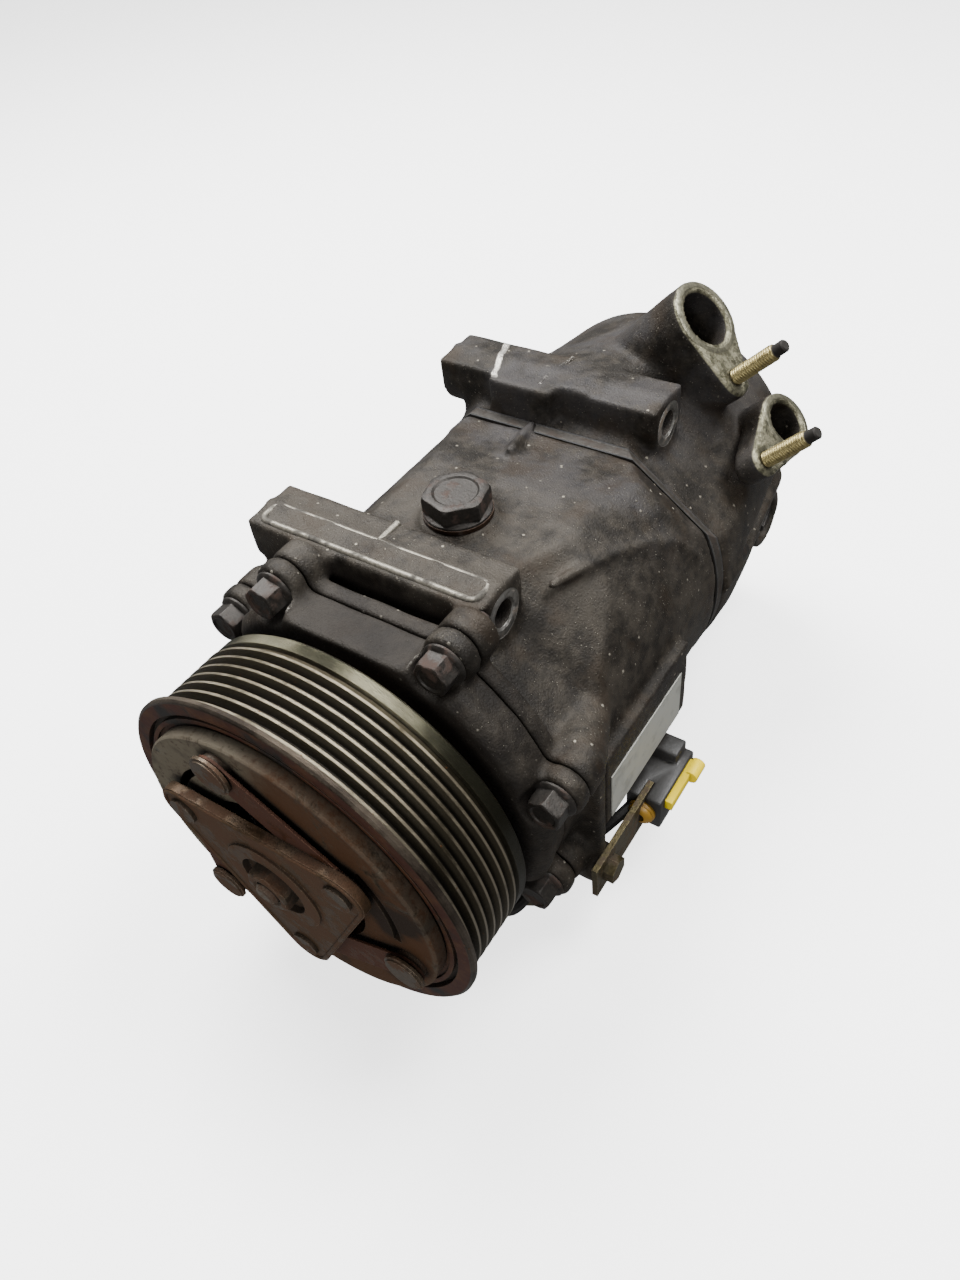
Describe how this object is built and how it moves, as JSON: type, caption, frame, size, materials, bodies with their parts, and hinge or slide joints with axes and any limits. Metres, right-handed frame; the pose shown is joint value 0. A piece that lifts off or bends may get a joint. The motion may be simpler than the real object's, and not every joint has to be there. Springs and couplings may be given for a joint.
{
  "type": "air-conditioning compressor with electromagnetic clutch",
  "caption": "Belt-driven air-conditioning compressor with a magnet clutch, ribbed pulley, through-bolt lugs, two studded pipe ports and a side connector.",
  "frame": {"origin": "on the shaft axis, at the centre of the belt track", "axes": "+Y along the shaft from the clutch to the rear head, +Z to the upper mounting lugs, +X to the connector side"},
  "size_m": [0.1487, 0.268, 0.1524],
  "materials": {
    "crankcase": "rough sand-cast, grimy",
    "front_housing": "rough sand-cast, grimy",
    "rear_head": "rough sand-cast, grimy",
    "front_o_ring": "smooth",
    "block_gasket": "rubber-coated sheet",
    "suction_reeds": "spring steel sheet",
    "valve_plate": "ground",
    "discharge_reeds": "spring steel sheet",
    "head_gasket": "rubber-coated sheet",
    "front_bolts": "blackened, worn",
    "rear_bolts": "blackened, worn",
    "oil_plug": "blackened, worn",
    "oil_plug_washer": "copper, dull",
    "port_studs": "yellow zinc plated",
    "label_plate": "thin printed foil",
    "relief_valve": "dull",
    "control_valve": "turned",
    "control_valve_circlip": "phosphated",
    "connector_bracket": "zinc plated sheet",
    "bracket_screw": "zinc plated",
    "connector_body": "moulded",
    "connector_lock": "moulded",
    "connector_pins": "tin plated",
    "coil_lead": "braided sleeve",
    "lead_clip": "zinc plated sheet",
    "coil_shell": "pressed steel, painted",
    "coil_winding": "varnished copper in resin",
    "coil_snap_ring": "phosphated",
    "bearing_inner_ring": "ground",
    "bearing_circlip": "phosphated",
    "bearing_outer_ring": "ground",
    "bearing_balls": "polished",
    "bearing_cage": "pressed",
    "pulley": "machined steel, rusted faces",
    "pulley_circlip": "phosphated",
    "armature_plate": "bare steel, rust bloom",
    "stop_buttons": "plated, rusted",
    "leaf_springs": "spring steel, rusted",
    "hub": "plated steel, rusted",
    "hub_rivets": "plated, rusted",
    "shaft_nut": "plated",
    "shims": "ground",
    "shaft": "ground",
    "shaft_seal": "lip seal",
    "seal_circlip": "phosphated",
    "front_bearing_cup": "drawn",
    "front_bearing_rollers": "ground",
    "rear_bearing_cup": "drawn",
    "rear_bearing_rollers": "ground",
    "thrust_washer": "ground",
    "drive_plate": "machined",
    "hinge_pin": "ground",
    "swash_plate": "ground",
    "swash_spring": "spring wire",
    "pistons": "machined, coated",
    "piston_shoes": "polished",
    "shaft_adjuster": "turned"
  },
  "bodies": {
    "housing": {"crankcase": "crankcase", "front_housing": "front_housing", "rear_head": "rear_head", "front_o_ring": "front_o_ring", "block_gasket": "block_gasket", "suction_reeds": "suction_reeds", "valve_plate": "valve_plate", "discharge_reeds": "discharge_reeds", "head_gasket": "head_gasket", "front_bolts": "front_bolts", "rear_bolts": "rear_bolts", "oil_plug": "oil_plug", "oil_plug_washer": "oil_plug_washer", "port_studs": "port_studs", "label_plate": "label_plate", "relief_valve": "relief_valve", "control_valve": "control_valve", "control_valve_circlip": "control_valve_circlip", "connector_bracket": "connector_bracket", "bracket_screw": "bracket_screw", "connector_body": "connector_body", "connector_lock": "connector_lock", "connector_pins": "connector_pins", "coil_lead": "coil_lead", "lead_clip": "lead_clip", "coil_shell": "coil_shell", "coil_winding": "coil_winding", "coil_snap_ring": "coil_snap_ring", "bearing_inner_ring": "bearing_inner_ring", "bearing_circlip": "bearing_circlip", "shaft_seal": "shaft_seal", "seal_circlip": "seal_circlip", "front_bearing_cup": "front_bearing_cup", "rear_bearing_cup": "rear_bearing_cup", "thrust_washer": "thrust_washer", "pistons": "pistons", "piston_shoes": "piston_shoes", "shaft_adjuster": "shaft_adjuster"},
    "rotor": {"pulley": "pulley", "bearing_outer_ring": "bearing_outer_ring", "pulley_circlip": "pulley_circlip"},
    "ball_cage": {"bearing_balls": "bearing_balls", "bearing_cage": "bearing_cage"},
    "drive_line": {"shaft": "shaft", "hub": "hub", "hub_rivets": "hub_rivets", "leaf_springs": "leaf_springs", "shaft_nut": "shaft_nut", "shims": "shims", "drive_plate": "drive_plate", "hinge_pin": "hinge_pin", "swash_plate": "swash_plate", "swash_spring": "swash_spring"},
    "clutch_plate": {"armature_plate": "armature_plate", "stop_buttons": "stop_buttons"},
    "front_rollers": {"front_bearing_rollers": "front_bearing_rollers"},
    "rear_rollers": {"rear_bearing_rollers": "rear_bearing_rollers"}
  },
  "joints": [
    {"name": "pulley_spin", "type": "hinge", "parent": "housing", "child": "rotor", "pos_m": [0, 0, 0], "axis": [0, 1, 0], "continuous": true},
    {"name": "ball_cage_spin", "type": "hinge", "parent": "housing", "child": "ball_cage", "pos_m": [0, 0, 0], "axis": [0, 1, 0], "continuous": true},
    {"name": "shaft_spin", "type": "hinge", "parent": "housing", "child": "drive_line", "pos_m": [0, 0, 0], "axis": [0, 1, 0], "continuous": true},
    {"name": "front_roller_spin", "type": "hinge", "parent": "housing", "child": "front_rollers", "pos_m": [0, 0, 0], "axis": [0, 1, 0], "continuous": true},
    {"name": "rear_roller_spin", "type": "hinge", "parent": "housing", "child": "rear_rollers", "pos_m": [0, 0, 0], "axis": [0, 1, 0], "continuous": true},
    {"name": "armature_pull", "type": "slide", "parent": "drive_line", "child": "clutch_plate", "axis": [0, 1, 0], "range_m": [0, 0.0005], "stiffness_N_per_m": 40000}
  ],
  "couplings": [
    {"joint": "ball_cage_spin", "follows": "pulley_spin", "ratio": 0.56667},
    {"joint": "front_roller_spin", "follows": "shaft_spin", "ratio": 0.425},
    {"joint": "rear_roller_spin", "follows": "shaft_spin", "ratio": 0.425}
  ]
}
